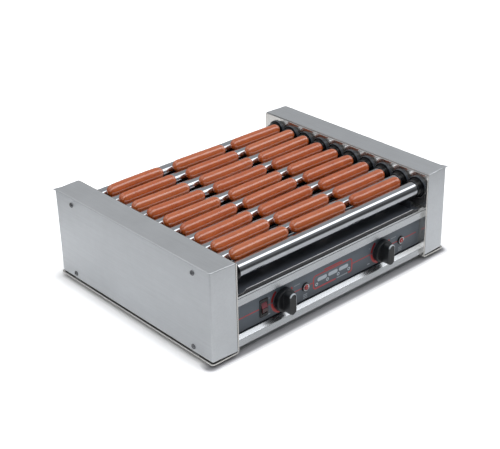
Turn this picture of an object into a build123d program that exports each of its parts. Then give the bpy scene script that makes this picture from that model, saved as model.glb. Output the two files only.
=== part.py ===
from build123d import *
import math
import os

# Hot dog roller grill, ten chromed rollers between two stainless end housings.
# Units are millimetres. +X runs along the rollers to the operator's right,
# -Y faces the operator, +Z is up. The origin is on the worktop, at the middle
# of the machine's outer box.

# ---------------------------------------------------------- shared dimensions
SIDES = (("left", -1), ("right", 1))   # name and sign of X
GAP = 0.05                 # hairline gap between touching pieces
RUN = 0.06                 # radial running clearance

WIDTH = 610.0              # over the end housings' side faces
DEPTH = 456.0              # of the side faces
COVER_T = 1.2              # cover sheet
SHEET_T = 1.2              # frame sheets

PLATE_T = 2.5              # bearing plate sheet
PLATE_X = 246.5            # inner face of each bearing plate
MOUNT_X = PLATE_X + PLATE_T + 0.1   # inner face of parts fixed outside the plates
FRAME_X = PLATE_X - 0.1    # half length of the sheets between the plates
SHELF_Z = 7.0              # underside of the plates' shelves

N_ROLL = 10
PITCH = 44.45              # 7 links of quarter-inch chain
ROLL_Y0 = -206.5           # front roller axis
ROLL_Z = 156.8             # roller axis height
ROLL_R = 14.7
JOURNAL_R = 9.9
JOURNAL_BORE_R = 7.9
ROLL_Y = [ROLL_Y0 + PITCH * k for k in range(N_ROLL)]
ROLL_YZ = [(y, ROLL_Z) for y in ROLL_Y]

PANEL_Y = -215.0           # front face of the control panel
RAIL_Y = -224.0            # front faces of both rails
Z_CTRL = 62.0              # height of knobs, lamps and switch
KNOB_X = (-128.0, 133.5)   # left and right heat knobs
LAMP_X = (-69.5, 191.6)
SWITCH_X = -173.0

PAN_Z = 8.0                # underside of the base pan
REAR_Y = 227.2             # outer face of the rear panel
CORD_XZ = (190, 32)        # where the cord passes the rear panel


# -------------------------------------------------------------------- helpers
def save(part, label):
    part.label = label
    export_step(part, "parts/" + label + ".step")


def at_y(y):
    """Sketch plane at depth y; positive extrusions go towards the operator."""
    return Plane.XZ.offset(-y)


def at_panel(ahead):
    """Sketch plane this far ahead of the control panel's front face."""
    return at_y(PANEL_Y - ahead)


def sheet_side(side):
    """Offset side that mirrors a left-hand offset between the two ends."""
    return Side.LEFT if side > 0 else Side.RIGHT


def placed(part, locations):
    """Copies of one part at the given locations."""
    with BuildPart() as copies:
        for location in locations:
            add(part.moved(location))
    return copies.part


def folded_sheet(points, radius, thickness, side):
    """Sheet folded along (y, z) points, spanning between the bearing plates."""
    with BuildPart() as sheet:
        with BuildSketch(Plane.YZ.offset(-FRAME_X)):
            with BuildLine():
                FilletPolyline(*points, radius=radius)
                offset(amount=thickness, side=side)
            make_face()
        extrude(amount=2 * FRAME_X)
    return sheet.part


# --------------------------------------------------------- bearing end plates
PLATE_D = 462.0            # depth
PLATE_TOP = 186.0
SHELF_X = 308.0            # outer edge of the shelf bent out under the cover
BEARING_HOLE_R = 15.55


def end_plate(side):
    """One bent sheet: a wall with ten bearing holes and a shelf running outwards."""
    # on the plate's inner face, normal pointing outwards
    wall_plane = Plane(origin=(side * PLATE_X, 0, 0), x_dir=(0, side, 0), z_dir=(side, 0, 0))
    with BuildPart() as plate:
        with BuildSketch(at_y(PLATE_D / 2)):
            with BuildLine():
                FilletPolyline(
                    (side * PLATE_X, PLATE_TOP),
                    (side * PLATE_X, SHELF_Z),
                    (side * SHELF_X, SHELF_Z),
                    radius=5.0,
                )
                offset(amount=PLATE_T, side=sheet_side(side))
            make_face()
        extrude(amount=PLATE_D)
        # rounded free corners of the shelf
        corners = plate.edges().filter_by(Axis.Z).group_by(Axis.X)[-1 if side > 0 else 0]
        fillet(corners, radius=6.0)
        with BuildSketch(wall_plane):
            for y in ROLL_Y:
                with Locations((side * y, ROLL_Z)):
                    Circle(BEARING_HOLE_R)
        extrude(amount=PLATE_T + 1, mode=Mode.SUBTRACT)
        # wiring hole low in the wall
        with BuildSketch(wall_plane):
            with Locations((side * 60, 40)):
                SlotOverall(44, 18)
        extrude(amount=PLATE_T + 1, mode=Mode.SUBTRACT)
    return plate.part


# ----------------------------------------------------------------- end covers
COVER_W = 55.0             # width of one cover
COVER_Z = 12.0             # bottom edge above the worktop
COVER_H = 176.0
COVER_TOP = COVER_Z + COVER_H
FLARE = 3.0                # the front and back flanges splay this far
LIP_H = 6.0                # turned-down lip along the inner top edge

# screw centres (y, z) on the right side face; the left ones are turned half a turn
SCREW_YZ = ((182.5, 172.0), (-175.5, 172.0), (176.5, 21.5), (-181.5, 21.5))


def screw_yz(side):
    return [(side * y, z) for y, z in SCREW_YZ]


def cover(side):
    """Box without a bottom or an inner side.

    Its front and back flanges splay out towards the rollers, its top is cut
    square so one outer corner stands proud, and its inner top edge is turned
    down. The left and right covers are the same pressing turned half a turn.
    """
    x_out, x_in = side * WIDTH / 2, side * (WIDTH / 2 - COVER_W)
    y_front, y_back = -DEPTH / 2, DEPTH / 2
    outermost = -1 if side > 0 else 0
    with BuildPart() as shell:
        with BuildSketch(Plane.XY.offset(COVER_Z)) as outer:
            with BuildLine():
                Polyline(
                    (x_out, y_front),
                    (x_out, y_back),
                    (x_in, y_back + FLARE),
                    (x_in, y_front - FLARE),
                    close=True,
                )
            make_face()
            fillet(outer.vertices().group_by(Axis.X)[outermost], radius=3.0)
        extrude(amount=COVER_H)
        top_edges = shell.edges().group_by(Axis.Z)[-1].filter_by(
            lambda edge: abs(edge.center().X - x_in) > 1.0
        )
        fillet(top_edges, radius=2.0)
        # the hollow runs out through the inner side and the bottom
        with BuildSketch(Plane.XY.offset(COVER_Z)) as inner:
            with BuildLine():
                Polyline(
                    (x_out - side * COVER_T, y_front + COVER_T),
                    (x_out - side * COVER_T, y_back - COVER_T),
                    (x_in - side * 1, y_back + FLARE - COVER_T + 0.05),
                    (x_in - side * 1, y_front - FLARE + COVER_T - 0.05),
                    close=True,
                )
            make_face()
            fillet(inner.vertices().group_by(Axis.X)[outermost], radius=1.8)
        extrude(amount=COVER_H - COVER_T, mode=Mode.SUBTRACT)
        # turned-down lip
        with BuildSketch(Plane.YZ.offset(x_in)):
            with Locations((0, COVER_TOP - LIP_H / 2)):
                Rectangle(DEPTH + 2 * FLARE - 4 * COVER_T, LIP_H)
        extrude(amount=side * COVER_T)
        # square-cut corner of the top sheet: front of the right cover, back of the left
        y_corner = -side * DEPTH / 2
        with BuildSketch(Plane.XY.offset(COVER_TOP - COVER_T)) as tip:
            with BuildLine():
                Polyline(
                    (x_out - side * 12, y_corner),
                    (x_out, y_corner + side * 12),
                    (x_out + side * 3.4, y_corner - side * 2.2),
                    close=True,
                )
            make_face()
            fillet(tip.vertices().group_by(Axis.X)[outermost], radius=0.8)
        extrude(amount=COVER_T)
        # screw holes in the side face
        with BuildSketch(Plane.YZ.offset(x_out - side * 5)):
            with Locations(*screw_yz(side)):
                Circle(2.2)
        extrude(amount=side * 10, mode=Mode.SUBTRACT)
    return shell.part


STRUT_X = WIDTH / 2 - COVER_T - 0.2    # outer face of the struts
STRUT_W = 18
STRUT_T = 1.5


def cover_struts():
    """Angles that stand on the shelves and take the cover screws."""
    foot_z = SHELF_Z + PLATE_T + GAP
    with BuildPart() as struts:
        for side in (-1, 1):
            for y in (-179.0, 179.0):
                with BuildSketch(at_y(y + STRUT_W / 2)):
                    with BuildLine():
                        FilletPolyline(
                            (side * 282.0, foot_z),
                            (side * STRUT_X, foot_z),
                            (side * STRUT_X, 181.0),
                            radius=3.0,
                        )
                        offset(amount=STRUT_T, side=sheet_side(side))
                    make_face()
                extrude(amount=STRUT_W)
        for side in (-1, 1):
            with BuildSketch(Plane.YZ.offset(side * 295)):
                with Locations(*screw_yz(side)):
                    Circle(2.05)
            extrude(amount=side * 15, mode=Mode.SUBTRACT)
    return struts.part


def cover_screw():
    """Screw along Z with a domed, cross-recessed head."""
    shank_r, shank_len = 1.9, 9.0
    head_r, rim_h, head_h = 5.0, 0.9, 2.9
    recess_len, recess_w = 5.4, 1.3
    with BuildPart() as screw:
        with BuildSketch(Plane.XZ):
            with BuildLine():
                Polyline(
                    (0, 0), (0, -shank_len), (shank_r, -shank_len), (shank_r, 0),
                    (head_r, 0), (head_r, rim_h),
                )
                ThreePointArc((head_r, rim_h), (2.9, 2.4), (0, head_h))
                Line((0, head_h), (0, 0))
            make_face()
        revolve(axis=Axis.Z)
        with BuildSketch(Plane.XY.offset(1.2)):
            Rectangle(recess_len, recess_w)
            Rectangle(recess_w, recess_len)
        extrude(amount=3, mode=Mode.SUBTRACT)
    return screw.part


def cover_screws():
    return placed(cover_screw(), [
        Plane(
            origin=(side * (WIDTH / 2 + 0.02), y, z),
            x_dir=(0, 0.5, 0.866),   # recess turned 60 degrees
            z_dir=(side, 0, 0),
        ).location
        for side in (-1, 1)
        for y, z in screw_yz(side)
    ])


# --------------------------------------------------------------- frame sheets
# Fold lines of the sheets, as (y, z) points.
BASE_PAN = ((-198, 22), (-198, PAN_Z), (225.8, PAN_Z), (225.8, 22))
# low face, then a sloping ledge back to the control panel
LOWER_RAIL = (
    (-199.5, 12.0), (RAIL_Y, 12.0), (RAIL_Y, 26.6), (PANEL_Y, 31.4), (-206.5, 31.4),
)
# open box section under the front edge of the drip tray
UPPER_RAIL = (
    (-215.3, 94.0), (RAIL_Y, 94.0), (RAIL_Y, 110.2),
    (-218.0, 114.0), (-196.0, 114.0), (-196.0, 104.0),
)
REAR_PANEL = ((214.0, 138.0), (REAR_Y, 138.0), (REAR_Y, 9.4))
CONTROL_PANEL = ((-203.0, 34.4), (PANEL_Y, 34.4), (PANEL_Y, 110.5), (-203.0, 110.5))


def base_pan():
    with BuildPart() as pan:
        add(folded_sheet(BASE_PAN, radius=2.5, thickness=SHEET_T, side=Side.LEFT))
        # two rows of vent slots in the floor
        with BuildSketch(Plane.XY.offset(PAN_Z - 1)):
            with GridLocations(28, 60, 9, 2):
                SlotOverall(44, 6, rotation=90)
        extrude(amount=4, mode=Mode.SUBTRACT)
    return pan.part


def rear_panel():
    """Upright sheet with a folded top edge, vent slots and a cord hole."""
    with BuildPart() as panel:
        add(folded_sheet(REAR_PANEL, radius=2.5, thickness=SHEET_T, side=Side.RIGHT))
        with BuildSketch(at_y(220)):
            with Locations((0, 84)):
                with GridLocations(15, 34, 24, 2):
                    SlotOverall(24, 5, rotation=90)
            with Locations(CORD_XZ):
                Circle(8.1)
        extrude(amount=-12, mode=Mode.SUBTRACT)
    return panel.part


def tray_guides():
    """Small angles on the inside of both bearing plates."""
    wall_x, top_z = PLATE_X - GAP, 114.3
    with BuildPart() as guides:
        for side in (-1, 1):
            with BuildSketch(at_y(210)):
                with BuildLine():
                    FilletPolyline(
                        (side * wall_x, 100.0),
                        (side * wall_x, top_z),
                        (side * 234.5, top_z),
                        radius=2.0,
                    )
                    offset(amount=SHEET_T, side=sheet_side(side))
                make_face()
            extrude(amount=405)
    return guides.part


def control_panel():
    with BuildPart() as panel:
        add(folded_sheet(CONTROL_PANEL, radius=1.4, thickness=1.0, side=Side.RIGHT))
        with BuildSketch(at_y(-200)):
            with Locations(*[(x, Z_CTRL) for x in KNOB_X]):
                Circle(5.1)
            with Locations(*[(x, Z_CTRL) for x in LAMP_X]):
                Circle(6.1)
            with Locations((SWITCH_X, Z_CTRL)):
                Rectangle(17.4, 30.4)
        extrude(amount=30, mode=Mode.SUBTRACT)
    return panel.part


# ---------------------------------------------------------------------- lamps
LAMP_PLACES = [
    Plane(origin=(x, PANEL_Y - GAP, Z_CTRL), x_dir=(1, 0, 0), z_dir=(0, -1, 0)).location
    for x in LAMP_X
]


def lamp_bezel():
    """Ring ahead of the panel with a sleeve behind it, along Z."""
    bore_r, sleeve_r, ring_r = 5.1, 5.9, 8.7
    sleeve_end = -22
    with BuildPart() as bezel:
        with BuildSketch(Plane.XZ):
            with BuildLine():
                Polyline(
                    (bore_r, sleeve_end), (sleeve_r, sleeve_end), (sleeve_r, -0.05),
                    (ring_r, -0.05), (ring_r, 1.4),
                )
                ThreePointArc((ring_r, 1.4), (7.9, 3.2), (6.2, 3.6))
                Polyline((6.2, 3.6), (bore_r, 3.0), (bore_r, sleeve_end))
            make_face()
        revolve(axis=Axis.Z)
    return bezel.part


def lamp_lens():
    """Lamp body with a rounded front end, along Z."""
    with BuildPart() as lens:
        with BuildSketch(Plane.XY.offset(-20)):
            Circle(5.0)
        extrude(amount=25)
        fillet(lens.faces().sort_by(Axis.Z)[-1].edges(), radius=2.4)
    return lens.part


# --------------------------------------------------------------- power switch
SWITCH_W, SWITCH_H = 19.7, 35.5
ROCKER_W, ROCKER_R = 12.4, 11.4
PIVOT_Y = PANEL_Y + 4.0


def power_switch_housing():
    with BuildPart() as housing:
        # rim ahead of the panel
        with BuildSketch(at_panel(GAP)):
            with Locations((SWITCH_X, Z_CTRL)):
                RectangleRounded(SWITCH_W, SWITCH_H, 1.5)
        extrude(amount=2.0)
        fillet(housing.faces().sort_by(Axis.Y)[0].edges(), radius=0.7)
        # body behind it
        with BuildSketch(at_panel(0.1)):
            with Locations((SWITCH_X, Z_CTRL)):
                Rectangle(17.0, 30.0)
        extrude(amount=-24)
        # pocket for the rocker
        with BuildSketch(at_panel(3)):
            with Locations((SWITCH_X, Z_CTRL)):
                Rectangle(ROCKER_W + 0.6, 2 * ROCKER_R + 0.8)
        extrude(amount=-20, mode=Mode.SUBTRACT)
        # three tab terminals at the back
        with BuildSketch(at_panel(-23)):
            with Locations((SWITCH_X, Z_CTRL)):
                with GridLocations(1, 9, 1, 3):
                    Rectangle(6.3, 0.8)
        extrude(amount=-9)
    return housing.part


def power_rocker():
    """Drum cut to two front facets: upper end pressed in, lower end proud."""
    ridge_y = PIVOT_Y - 8.6
    upper_tilt, lower_tilt = math.radians(19), math.radians(3)
    reach = 15             # the cut's extent above and below the pivot
    cut_top = Z_CTRL + reach * math.cos(upper_tilt)
    with BuildPart() as rocker:
        with BuildSketch(Plane.YZ.offset(SWITCH_X - ROCKER_W / 2)):
            with Locations((PIVOT_Y, Z_CTRL)):
                Circle(ROCKER_R)
            with BuildLine():
                Polyline(
                    (ridge_y, Z_CTRL),
                    (ridge_y + reach * math.sin(upper_tilt), cut_top),
                    (ridge_y - 12, cut_top),
                    (ridge_y - 12, Z_CTRL - reach),
                    (ridge_y + reach * math.sin(lower_tilt), Z_CTRL - reach),
                    close=True,
                )
            make_face(mode=Mode.SUBTRACT)
        extrude(amount=ROCKER_W)
    return rocker.part


# -------------------------------------------------------------- heat controls
SPINDLE_R = 3.175
KNOB_R = 23.2
KNOB_BACK = 3.4            # back of the knob, ahead of the panel
SWITCH_FRONT = -1.05       # front of the switch body, behind the panel


def heat_switch(x):
    with BuildPart() as switch:
        with BuildSketch(at_panel(SWITCH_FRONT)):
            with Locations((x, Z_CTRL)):
                RectangleRounded(44, 38, 3)
        extrude(amount=-30)
        # bush through the panel
        with BuildSketch(at_panel(SWITCH_FRONT)):
            with Locations((x, Z_CTRL)):
                Circle(5.0)
        extrude(amount=4.0)
        # bore for the spindle
        with BuildSketch(at_panel(10)):
            with Locations((x, Z_CTRL)):
                Circle(SPINDLE_R + RUN)
        extrude(amount=-32, mode=Mode.SUBTRACT)
        # four tab terminals
        with BuildSketch(at_panel(-31.0)):
            with Locations((x, Z_CTRL)):
                with GridLocations(16, 12, 2, 2):
                    Rectangle(0.8, 6.3)
        extrude(amount=-8)
    return switch.part


def switch_spindle(x):
    with BuildPart() as spindle:
        with BuildSketch(at_panel(17)):
            with Locations((x, Z_CTRL)):
                Circle(SPINDLE_R)
        extrude(amount=-37)
        # flat on top of the front end
        with BuildSketch(at_panel(5)):
            with Locations((x, Z_CTRL + 3.4)):
                Rectangle(10, 2)
        extrude(amount=14, mode=Mode.SUBTRACT)
    return spindle.part


def heat_knob(x):
    """Round skirt with a raised, full-length finger grip."""
    with BuildPart() as knob:
        with BuildSketch(at_panel(KNOB_BACK)):
            with Locations((x, Z_CTRL)):
                Circle(KNOB_R)
        extrude(amount=9.6, taper=4)
        fillet(knob.faces().sort_by(Axis.Y)[0].edges(), radius=1.4)
        with BuildSketch(at_panel(12.0)):
            with Locations((x, Z_CTRL)):
                SlotOverall(2 * KNOB_R - 1.6, 17.4, rotation=90)
        extrude(amount=18.5, taper=2.0)
        fillet(knob.faces().sort_by(Axis.Y)[0].edges(), radius=2.2)
        # hollow back of the skirt, round a central boss
        with BuildSketch(at_panel(KNOB_BACK)):
            with Locations((x, Z_CTRL)):
                Circle(KNOB_R - 3)
                Circle(7.0, mode=Mode.SUBTRACT)
        extrude(amount=3.6, mode=Mode.SUBTRACT)
        # blind hole that takes the spindle
        with BuildSketch(at_panel(KNOB_BACK - 0.1)):
            with Locations((x, Z_CTRL)):
                Circle(3.2)
        extrude(amount=14.5, mode=Mode.SUBTRACT)
    return knob.part


# ---------------------------------------------------------- rollers and seals
ROLL_BORE_R = 13.3
ROLL_END = 234.0           # full-diameter length, each side of centre
BORE_END = 230             # full bore, each side of centre
CHAMFER = 0.8
JOURNAL_LEFT, JOURNAL_RIGHT = -256, 263.5   # ends of the journals

# (x, radius) round the wall of a roller tube
TUBE_OUTLINE = (
    (JOURNAL_LEFT, JOURNAL_BORE_R), (JOURNAL_LEFT, JOURNAL_R),
    (-ROLL_END - 0.6, JOURNAL_R),
    (-ROLL_END, ROLL_R - CHAMFER), (-ROLL_END + CHAMFER, ROLL_R),
    (ROLL_END - CHAMFER, ROLL_R), (ROLL_END, ROLL_R - CHAMFER),
    (ROLL_END + 0.6, JOURNAL_R),
    (JOURNAL_RIGHT, JOURNAL_R), (JOURNAL_RIGHT, JOURNAL_BORE_R),
    (BORE_END + 2, JOURNAL_BORE_R), (BORE_END, ROLL_BORE_R),
    (-BORE_END, ROLL_BORE_R), (-BORE_END - 2, JOURNAL_BORE_R),
)

SEAL_R = 21.7              # outer flange of the bearing seal
SEAL_BORE_R = JOURNAL_R + RUN
SEAL_LIP_R = ROLL_R + 0.25     # the seal's inner end reaches over the roller
# (radius, distance from the machine's centre) round a seal's section
SEAL_OUTLINE = (
    (SEAL_BORE_R, 253.0), (15.4, 253.0), (15.4, PLATE_X - GAP),
    (SEAL_R, PLATE_X - GAP), (SEAL_R, 243.4), (20.9, 242.6),
    (18.4, 242.6), (18.4, 239.4), (17.7, 238.7),
    (16.8, 238.7), (16.8, 231.4), (16.2, 230.8),
    (SEAL_LIP_R, 230.8), (SEAL_LIP_R, 235.2), (SEAL_BORE_R, 235.2),
)


def roller_tube(y):
    with BuildPart() as tube:
        with BuildSketch(at_y(y)):
            with BuildLine():
                Polyline(*[(x, ROLL_Z + radius) for x, radius in TUBE_OUTLINE], close=True)
            make_face()
        revolve(axis=Axis((0, y, ROLL_Z), (1, 0, 0)))
    return tube.part


def bearing_seals(side):
    """Ten stepped seals in one bearing plate."""
    with BuildPart() as seal:
        with BuildSketch(Plane.XZ):
            with BuildLine():
                Polyline(*[(radius, side * x) for radius, x in SEAL_OUTLINE], close=True)
            make_face()
        revolve(axis=Axis.Z)
    return placed(seal.part, [
        Plane(origin=(0, y, ROLL_Z), x_dir=(0, 0, -1), z_dir=(1, 0, 0)).location
        for y in ROLL_Y
    ])


# -------------------------------------------------------- sprockets and chain
CHAIN_P = 6.35             # chain pitch
TEETH = 16
SPROCKET_PCR = CHAIN_P / 2 / math.sin(math.pi / TEETH)   # pitch radius
SPROCKET_X = 258.0         # inner face of the sprockets' discs
SPROCKET_T = 2.8
# The chain stands a little outside the sprockets' pitch circle, so that turning
# teeth clear its bushes: ten links go round each end instead of eight.
WRAP = 10
CHAIN_R = CHAIN_P / 2 / math.sin(math.pi / (2 * WRAP))
CHAIN_DY = 0.5             # the whole loop is shifted back this far
CHAIN_X = SPROCKET_X + SPROCKET_T / 2
N_STRAIGHT = round(PITCH * (N_ROLL - 1) / CHAIN_P)   # links in one straight run
N_LINKS = 2 * N_STRAIGHT + 2 * WRAP

SHAFT_R = 4.0              # gearbox shaft
DRIVE_Y = ROLL_Y[5] + 3 * CHAIN_P
DRIVE_Z = ROLL_Z - 2 * CHAIN_R


def sprocket_blank():
    """Toothed disc with a hub on its inner side, without a bore."""
    # a tooth gap widens outwards from the bush seat
    gap_r_in, gap_r_out = SPROCKET_PCR - 0.2, SPROCKET_PCR + 2.6
    gap_half_in, gap_half_out = 1.80, 2.75
    with BuildPart() as blank:
        with BuildSketch(Plane.YZ):
            Circle(SPROCKET_PCR + 1.55)
            for i in range(TEETH):
                angle = math.radians(90 + i * 360 / TEETH)
                cos, sin = math.cos(angle), math.sin(angle)
                with Locations((SPROCKET_PCR * cos, SPROCKET_PCR * sin)):
                    Circle(1.82, mode=Mode.SUBTRACT)
                with BuildLine(mode=Mode.PRIVATE) as gap:
                    Polyline(
                        (gap_r_in * cos - gap_half_in * sin, gap_r_in * sin + gap_half_in * cos),
                        (gap_r_out * cos - gap_half_out * sin, gap_r_out * sin + gap_half_out * cos),
                        (gap_r_out * cos + gap_half_out * sin, gap_r_out * sin - gap_half_out * cos),
                        (gap_r_in * cos + gap_half_in * sin, gap_r_in * sin - gap_half_in * cos),
                        close=True,
                    )
                make_face(gap.edges(), mode=Mode.SUBTRACT)
        extrude(amount=SPROCKET_T)
        with BuildSketch(Plane.YZ):
            Circle(12.4)
        extrude(amount=-4.0)
    return blank.part


def bored_sprocket(blank, bore_r):
    with BuildPart() as sprocket:
        add(blank)
        with BuildSketch(Plane.YZ.offset(-6)):
            Circle(bore_r)
        extrude(amount=14, mode=Mode.SUBTRACT)
    return sprocket.part


def chain_point(i):
    """(y, z) of pin centre i, counted along the top run and round the loop."""
    i = i % N_LINKS
    front, back = ROLL_Y[0] + CHAIN_DY, ROLL_Y[-1] + CHAIN_DY
    if i <= N_STRAIGHT:
        return front + i * CHAIN_P, ROLL_Z + CHAIN_R
    i -= N_STRAIGHT
    if i <= WRAP:
        angle = math.radians(90 - i * 180 / WRAP)
        return back + CHAIN_R * math.cos(angle), ROLL_Z + CHAIN_R * math.sin(angle)
    i -= WRAP
    if i <= N_STRAIGHT:
        return back - i * CHAIN_P, ROLL_Z - CHAIN_R
    i -= N_STRAIGHT
    angle = math.radians(270 - i * 180 / WRAP)
    return front + CHAIN_R * math.cos(angle), ROLL_Z + CHAIN_R * math.sin(angle)


LINK_W = 5.6               # width of the side plates
LINK_T = 0.7               # their thickness


def inner_link():
    """Two side plates joined by two bored bushes, centred on the origin."""
    with BuildPart() as link:
        for x in (-2.35, 1.65):
            with BuildSketch(Plane.YZ.offset(x)):
                SlotCenterToCenter(CHAIN_P, LINK_W)
            extrude(amount=LINK_T)
        with BuildSketch(Plane.YZ.offset(-2.35)):
            with GridLocations(CHAIN_P, 1, 2, 1):
                Circle(1.62)
        extrude(amount=4.7)
        with BuildSketch(Plane.YZ.offset(-3)):
            with GridLocations(CHAIN_P, 1, 2, 1):
                Circle(1.05)
        extrude(amount=6, mode=Mode.SUBTRACT)
    return link.part


def outer_link():
    """Two side plates joined by two pins, centred on the origin."""
    with BuildPart() as link:
        for x in (-3.15, 2.45):
            with BuildSketch(Plane.YZ.offset(x)):
                SlotCenterToCenter(CHAIN_P, LINK_W)
            extrude(amount=LINK_T)
        with BuildSketch(Plane.YZ.offset(-3.3)):
            with GridLocations(CHAIN_P, 1, 2, 1):
                Circle(1.0)
        extrude(amount=6.6)
    return link.part


def drive_chain():
    """Oval loop round all ten roller sprockets, inner and outer links in turn."""
    links = (inner_link(), outer_link())
    solids = []
    for i in range(N_LINKS):
        (y_a, z_a), (y_b, z_b) = chain_point(i), chain_point(i + 1)
        tilt = math.degrees(math.atan2(z_b - z_a, y_b - y_a))
        middle = Location((CHAIN_X, (y_a + y_b) / 2, (z_a + z_b) / 2))
        place = middle * Location((0, 0, 0), (tilt, 0, 0))
        solids += [solid.moved(place) for solid in links[i % 2].solids()]
    return Compound(solids)


# ------------------------------------------------------------------ gearmotor
# It sits below the chain's return run in the right housing.
BRACKET_X = 264.4          # inner face of the bracket's main face
BRACKET_T = 1.6
BRACKET_HALF_W = 42
LEG_Z, LEG_H = 70, 60


def motor_bracket():
    """Face standing off the bearing plate on two legs with outturned feet."""
    leg_w = BRACKET_X + BRACKET_T - MOUNT_X
    with BuildPart() as bracket:
        with BuildSketch(Plane.YZ.offset(BRACKET_X)):
            with Locations((DRIVE_Y, 88)):
                Rectangle(2 * BRACKET_HALF_W, 96)
            with Locations((DRIVE_Y, DRIVE_Z)):
                Circle(6.2, mode=Mode.SUBTRACT)
        extrude(amount=BRACKET_T)
        for end in (-1, 1):
            # each leg stands outside the edge of the face
            leg_y = DRIVE_Y + end * BRACKET_HALF_W - (BRACKET_T if end < 0 else 0)
            with BuildSketch(at_y(leg_y)):
                with Locations((MOUNT_X + leg_w / 2, LEG_Z)):
                    Rectangle(leg_w, LEG_H)
            extrude(amount=-BRACKET_T)
            with BuildSketch(Plane.YZ.offset(MOUNT_X)):
                with Locations((DRIVE_Y + end * (BRACKET_HALF_W + 6), LEG_Z)):
                    Rectangle(14, LEG_H)
            extrude(amount=BRACKET_T)
    return bracket.part


def gearbox():
    boss_r = 6.0
    with BuildPart() as box:
        with BuildSketch(Plane.YZ.offset(266.1)):
            with Locations((DRIVE_Y, 118.8)):
                RectangleRounded(52, 50, 8)
        extrude(amount=24)
        fillet(box.faces().sort_by(Axis.X)[-1].edges(), radius=2.5)
        with BuildSketch(Plane.YZ.offset(258)):
            with Locations((DRIVE_Y, DRIVE_Z)):
                Circle(boss_r)
        with BuildSketch(Plane.YZ.offset(264.0)) as boss:
            with Locations((DRIVE_Y, DRIVE_Z)):
                Circle(boss_r)
        extrude(boss.sketch, amount=2.5)
        with BuildSketch(Plane.YZ.offset(262)):
            with Locations((DRIVE_Y, DRIVE_Z)):
                Circle(SHAFT_R + RUN)
        # Extruding a named sketch leaves it pending, so this cuts all three
        # circles and leaves a blind hole of the boss's radius.
        extrude(amount=22, mode=Mode.SUBTRACT)
    return box.part


def drive_motor():
    with BuildPart() as motor:
        # laminated stack
        with BuildSketch(Plane.YZ.offset(268)):
            with Locations((DRIVE_Y, 64)):
                Rectangle(64, 56)
        extrude(amount=18)
        # coil on the lower limb
        with BuildSketch(Plane.YZ.offset(266.3)):
            with Locations((DRIVE_Y, 46)):
                RectangleRounded(34, 24, 5)
        extrude(amount=24)
        # rotor bridge
        with BuildSketch(Plane.YZ.offset(286)):
            with Locations((DRIVE_Y, 76)):
                RectangleRounded(46, 14, 4)
        extrude(amount=5)
    return motor.part


def gearbox_shaft():
    with BuildPart() as shaft:
        with BuildSketch(Plane.YZ.offset(254.5)):
            with Locations((DRIVE_Y, DRIVE_Z)):
                Circle(SHAFT_R)
        extrude(amount=29)
    return shaft.part


# -------------------------------------------------------------------- heating
ROD_R = 4.0
ROD_END = 280              # half length of a rod
BAR_X = 269.0              # inner face of the element bars
BAR_T = 1.5
POST_Y = (-150, 118)       # middles of the posts below each bar
POST_W = 16
POST_Z, POST_H = 137.5, 29


def heating_rods():
    """Rods through the rollers, with a thin stud at both ends."""
    with BuildPart() as rods:
        for y in ROLL_Y:
            with BuildSketch(Plane.YZ.offset(-ROD_END)):
                with Locations((y, ROLL_Z)):
                    Circle(ROD_R)
            extrude(amount=2 * ROD_END)
            for side in (-1, 1):
                with BuildSketch(Plane.YZ.offset(side * (ROD_END - 0.5))):
                    with Locations((y, ROLL_Z)):
                        Circle(1.9)
                extrude(amount=side * 13)
    return rods.part


def terminal_insulators():
    """Rings round the studs."""
    with BuildPart() as insulators:
        for y in ROLL_Y:
            for side in (-1, 1):
                with BuildSketch(Plane.YZ.offset(side * (ROD_END + 0.1))):
                    with Locations((y, ROLL_Z)):
                        Circle(4.6)
                        Circle(2.0, mode=Mode.SUBTRACT)
                extrude(amount=side * 6)
    return insulators.part


def element_bars():
    """Strip holding the rod ends in each housing, on two posts bent to the plate."""
    leg_w = BAR_X + BAR_T - MOUNT_X
    leg_z = POST_Z - POST_H / 2 + BAR_T / 2
    with BuildPart() as bars:
        for side in (-1, 1):
            with BuildSketch(Plane.YZ.offset(side * BAR_X)):
                with Locations((-6.5, ROLL_Z)):
                    Rectangle(430, 18)
                with Locations(*[(y, POST_Z) for y in POST_Y]):
                    Rectangle(POST_W, POST_H)
            extrude(amount=side * BAR_T)
            for y in POST_Y:
                with BuildSketch(at_y(y - POST_W / 2)):
                    with Locations((side * (MOUNT_X + leg_w / 2), leg_z)):
                        Rectangle(leg_w, BAR_T)
                extrude(amount=-POST_W)
            with BuildSketch(Plane.YZ.offset(side * 260)):
                with Locations(*ROLL_YZ):
                    Circle(ROD_R + 0.15)
            extrude(amount=side * 15, mode=Mode.SUBTRACT)
    return bars.part


# ------------------------------------------------------------------ drip tray
TRAY_Z = 114.6             # underside
TRAY_WALL_X = 226.5        # middle of each side wall
TRAY_WALL_T = 1.2
TRAY_WALL_H = 16.4
# right half of the front lip, (x, height above the underside), end to middle:
# low at the end, stepping up to full height
TRAY_LIP = ((238, 0), (238, 2.4), (226, 2.4), (217, 7.0))


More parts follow.
